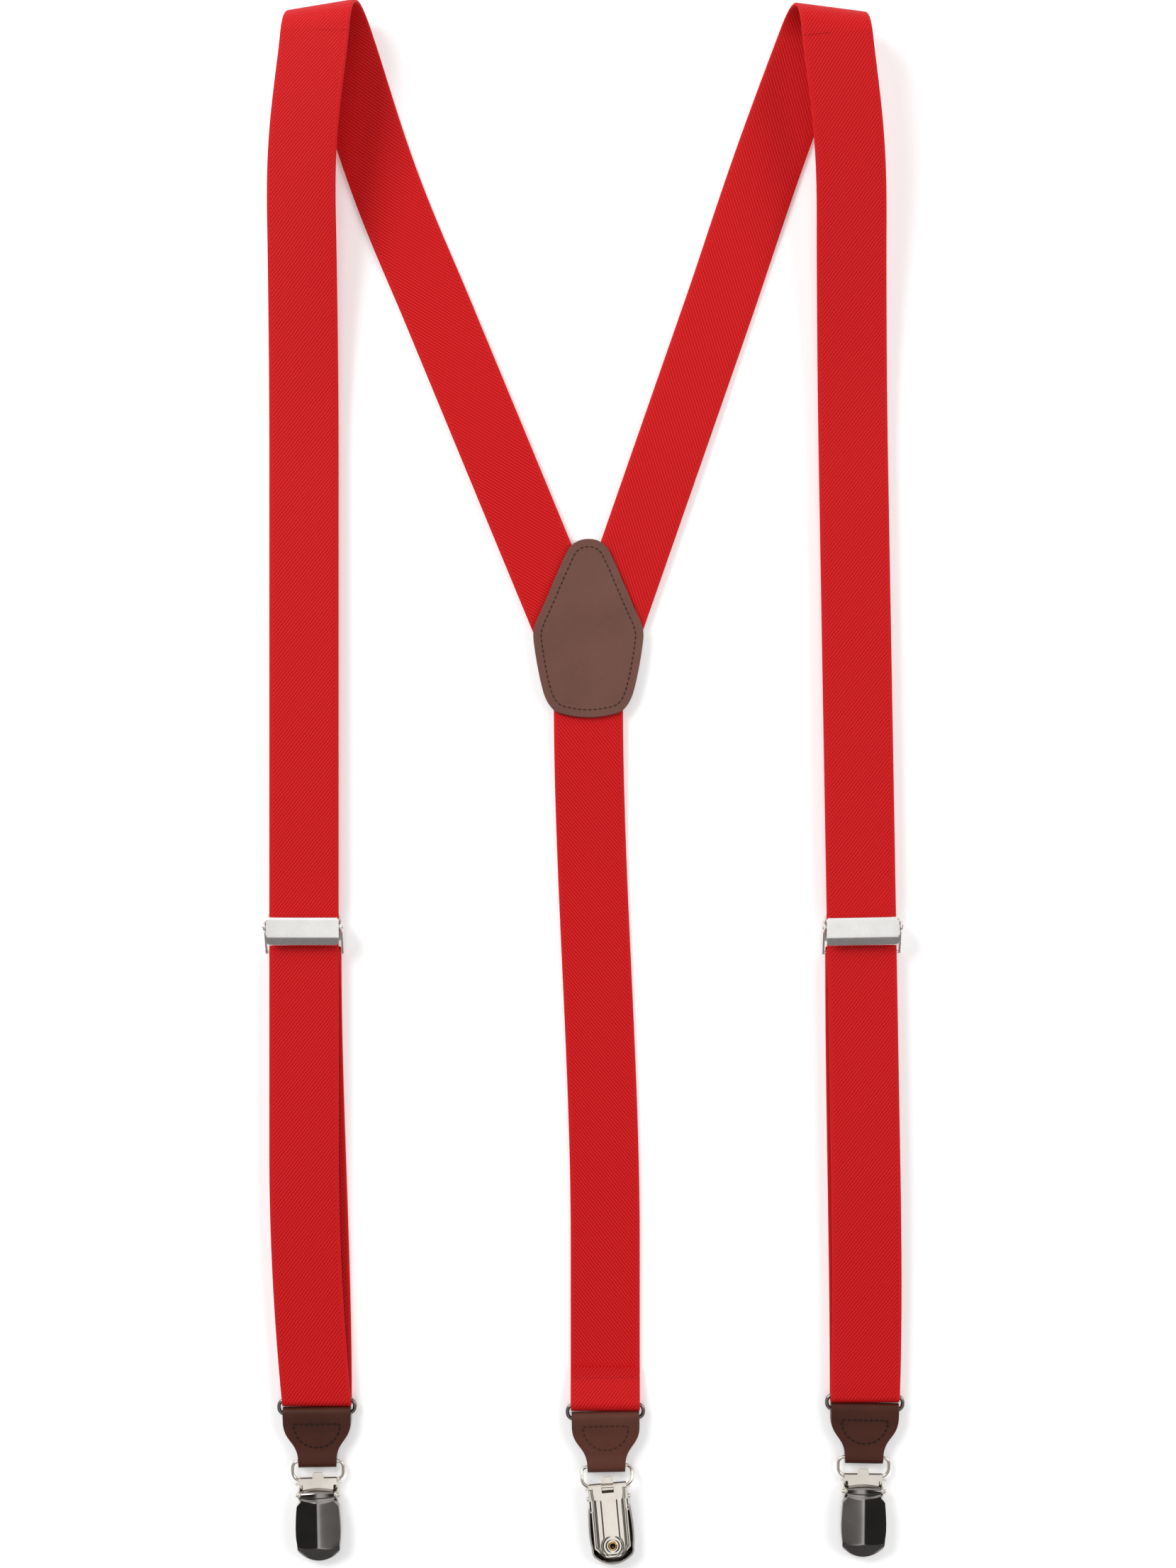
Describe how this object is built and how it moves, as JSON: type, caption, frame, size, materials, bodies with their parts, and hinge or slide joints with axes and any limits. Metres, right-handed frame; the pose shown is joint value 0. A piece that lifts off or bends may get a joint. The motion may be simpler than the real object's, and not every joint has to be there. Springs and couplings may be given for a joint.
{
  "type": "suspenders",
  "caption": "Suspenders with a Y-shaped back: two adjustable elastic front straps, two back branches sewn into a leather patch, a back strap, and a lever clip on a leather tab at each end.",
  "frame": {"origin": "on the resting surface, under the centre of the leather patch", "axes": "+Y along the layout towards the shoulder loops, +X to the right of the layout, +Z out of the resting surface"},
  "size_m": [0.2346, 0.5702, 0.0252],
  "materials": {
    "red_webbing": "elastic twill webbing, slight sheen",
    "patch_leather": "matte brown leather",
    "tab_leather": "satin dark brown leather",
    "dark_ring_steel": "polished dark nickel wire",
    "bright_nickel": "polished nickel plate",
    "brushed_nickel": "brushed nickel plate",
    "dark_gunmetal": "polished gunmetal plate",
    "brass_eyelet": "polished brass",
    "pad_plastic": "matte moulded plastic"
  },
  "bodies": {
    "root": {"left_back_branch": "red_webbing", "right_back_branch": "red_webbing", "left_shoulder_loop": "red_webbing", "right_shoulder_loop": "red_webbing", "back_strap": "red_webbing", "patch_rear_leather": "patch_leather", "patch_front_leather": "patch_leather"},
    "left_front": {"left_front_strap": "red_webbing"},
    "left_runner": {"left_runner_fold": "red_webbing", "left_return_run": "red_webbing"},
    "left_adjuster": {"left_adjuster_frame": "brushed_nickel", "left_adjuster_pin": "bright_nickel"},
    "left_adjuster_lever": {"left_adjuster_cover": "brushed_nickel"},
    "left_ring": {"left_strap_ring": "dark_ring_steel"},
    "left_tab": {"left_leather_tab": "tab_leather"},
    "left_loop": {"left_clip_loop": "bright_nickel"},
    "left_clip": {"left_jaw_plate": "bright_nickel", "left_grip_pad": "pad_plastic", "left_eyelet": "brass_eyelet", "left_clip_pin": "bright_nickel"},
    "left_cover": {"left_clip_cover": "dark_gunmetal"},
    "right_front": {"right_front_strap": "red_webbing"},
    "right_runner": {"right_runner_fold": "red_webbing", "right_return_run": "red_webbing"},
    "right_adjuster": {"right_adjuster_frame": "brushed_nickel", "right_adjuster_pin": "bright_nickel"},
    "right_adjuster_lever": {"right_adjuster_cover": "brushed_nickel"},
    "right_ring": {"right_strap_ring": "dark_ring_steel"},
    "right_tab": {"right_leather_tab": "tab_leather"},
    "right_loop": {"right_clip_loop": "bright_nickel"},
    "right_clip": {"right_jaw_plate": "bright_nickel", "right_grip_pad": "pad_plastic", "right_eyelet": "brass_eyelet", "right_clip_pin": "bright_nickel"},
    "right_cover": {"right_clip_cover": "dark_gunmetal"},
    "back_ring": {"back_strap_ring": "dark_ring_steel"},
    "back_tab": {"back_leather_tab": "tab_leather"},
    "back_loop": {"back_clip_loop": "bright_nickel"},
    "back_clip": {"back_jaw_plate": "bright_nickel", "back_grip_pad": "pad_plastic", "back_eyelet": "brass_eyelet", "back_clip_pin": "bright_nickel"},
    "back_cover": {"back_clip_cover": "dark_gunmetal"}
  },
  "joints": [
    {"name": "left_shoulder_fold", "type": "hinge", "parent": "root", "child": "left_front", "pos_m": [-0.09505, 0.21526, 0.0109], "axis": [-0.9938, -0.1115, 0], "range_deg": [0, 120], "deforming": ["left_shoulder_loop"]},
    {"name": "left_length_slide", "type": "slide", "parent": "left_front", "child": "left_runner", "axis": [0, 1, 0], "range_m": [-0.075, 0.07], "deforming": ["left_runner_fold"]},
    {"name": "left_adjuster_slide", "type": "slide", "parent": "left_runner", "child": "left_adjuster", "axis": [0, 1, 0], "range_m": [-0.075, 0.07], "deforming": ["left_return_run"]},
    {"name": "left_adjuster_lever_hinge", "type": "hinge", "parent": "left_adjuster", "child": "left_adjuster_lever", "pos_m": [-0.104, -0.1089, 0.0097], "axis": [-1, 0, 0], "range_deg": [0, 80]},
    {"name": "left_ring_hinge", "type": "hinge", "parent": "left_runner", "child": "left_ring", "pos_m": [-0.0996, -0.2826, 0.00235], "axis": [0.9999, 0.014, 0], "range_deg": [-45, 45]},
    {"name": "left_tab_hinge", "type": "hinge", "parent": "left_ring", "child": "left_tab", "pos_m": [-0.09953, -0.2877, 0.00235], "axis": [0.9999, 0.014, 0], "range_deg": [-50, 50]},
    {"name": "left_loop_hinge", "type": "hinge", "parent": "left_tab", "child": "left_loop", "pos_m": [-0.09928, -0.3052, 0.00235], "axis": [0.9998, 0.0209, 0], "range_deg": [-35, 35]},
    {"name": "left_clip_hinge", "type": "hinge", "parent": "left_loop", "child": "left_clip", "pos_m": [-0.09913, -0.31248, 0.0018], "axis": [0.9998, 0.0209, 0], "range_deg": [-45, 45]},
    {"name": "left_cover_lever", "type": "hinge", "parent": "left_clip", "child": "left_cover", "pos_m": [-0.09903, -0.31717, 0.0043], "axis": [-0.9998, -0.0209, 0], "range_deg": [0, 95]},
    {"name": "right_shoulder_fold", "type": "hinge", "parent": "root", "child": "right_front", "pos_m": [0.08577, 0.21439, 0.0109], "axis": [-0.9917, 0.1288, 0], "range_deg": [0, 120], "deforming": ["right_shoulder_loop"]},
    {"name": "right_length_slide", "type": "slide", "parent": "right_front", "child": "right_runner", "axis": [-0.0175, 0.9998, 0], "range_m": [-0.075, 0.07], "deforming": ["right_runner_fold"]},
    {"name": "right_adjuster_slide", "type": "slide", "parent": "right_runner", "child": "right_adjuster", "axis": [-0.0175, 0.9998, 0], "range_m": [-0.075, 0.07], "deforming": ["right_return_run"]},
    {"name": "right_adjuster_lever_hinge", "type": "hinge", "parent": "right_adjuster", "child": "right_adjuster_lever", "pos_m": [0.0999, -0.1089, 0.0097], "axis": [-0.9998, -0.0175, 0], "range_deg": [0, 80]},
    {"name": "right_ring_hinge", "type": "hinge", "parent": "right_runner", "child": "right_ring", "pos_m": [0.1014, -0.2812, 0.00235], "axis": [0.9998, -0.0175, 0], "range_deg": [-45, 45]},
    {"name": "right_tab_hinge", "type": "hinge", "parent": "right_ring", "child": "right_tab", "pos_m": [0.10131, -0.2863, 0.00235], "axis": [0.9998, -0.0175, 0], "range_deg": [-50, 50]},
    {"name": "right_loop_hinge", "type": "hinge", "parent": "right_tab", "child": "right_loop", "pos_m": [0.10101, -0.3038, 0.00235], "axis": [0.9998, -0.0209, 0], "range_deg": [-35, 35]},
    {"name": "right_clip_hinge", "type": "hinge", "parent": "right_loop", "child": "right_clip", "pos_m": [0.10085, -0.31107, 0.0018], "axis": [0.9999, -0.0105, 0], "range_deg": [-45, 45]},
    {"name": "right_cover_lever", "type": "hinge", "parent": "right_clip", "child": "right_cover", "pos_m": [0.1008, -0.31577, 0.0043], "axis": [-0.9999, 0.0105, 0], "range_deg": [0, 95]},
    {"name": "back_ring_hinge", "type": "hinge", "parent": "root", "child": "back_ring", "pos_m": [0.0062, -0.2844, 0.00235], "axis": [-0.9998, -0.0175, 0], "range_deg": [-45, 45]},
    {"name": "back_tab_hinge", "type": "hinge", "parent": "back_ring", "child": "back_tab", "pos_m": [0.00629, -0.2895, 0.00235], "axis": [-0.9998, -0.0175, 0], "range_deg": [-50, 50]},
    {"name": "back_loop_hinge", "type": "hinge", "parent": "back_tab", "child": "back_loop", "pos_m": [0.00659, -0.307, 0.00235], "axis": [-0.9986, -0.0523, 0], "range_deg": [-35, 35]},
    {"name": "back_clip_hinge", "type": "hinge", "parent": "back_loop", "child": "back_clip", "pos_m": [0.00695, -0.31379, 0.005], "axis": [-0.9959, -0.0906, 0], "range_deg": [-45, 45]},
    {"name": "back_cover_lever", "type": "hinge", "parent": "back_clip", "child": "back_cover", "pos_m": [0.00738, -0.31847, 0.0025], "axis": [0.9959, 0.0906, 0], "range_deg": [0, 95]}
  ],
  "couplings": [
    {"joint": "left_adjuster_slide", "follows": "left_length_slide", "ratio": 1},
    {"joint": "right_adjuster_slide", "follows": "right_length_slide", "ratio": 1}
  ]
}
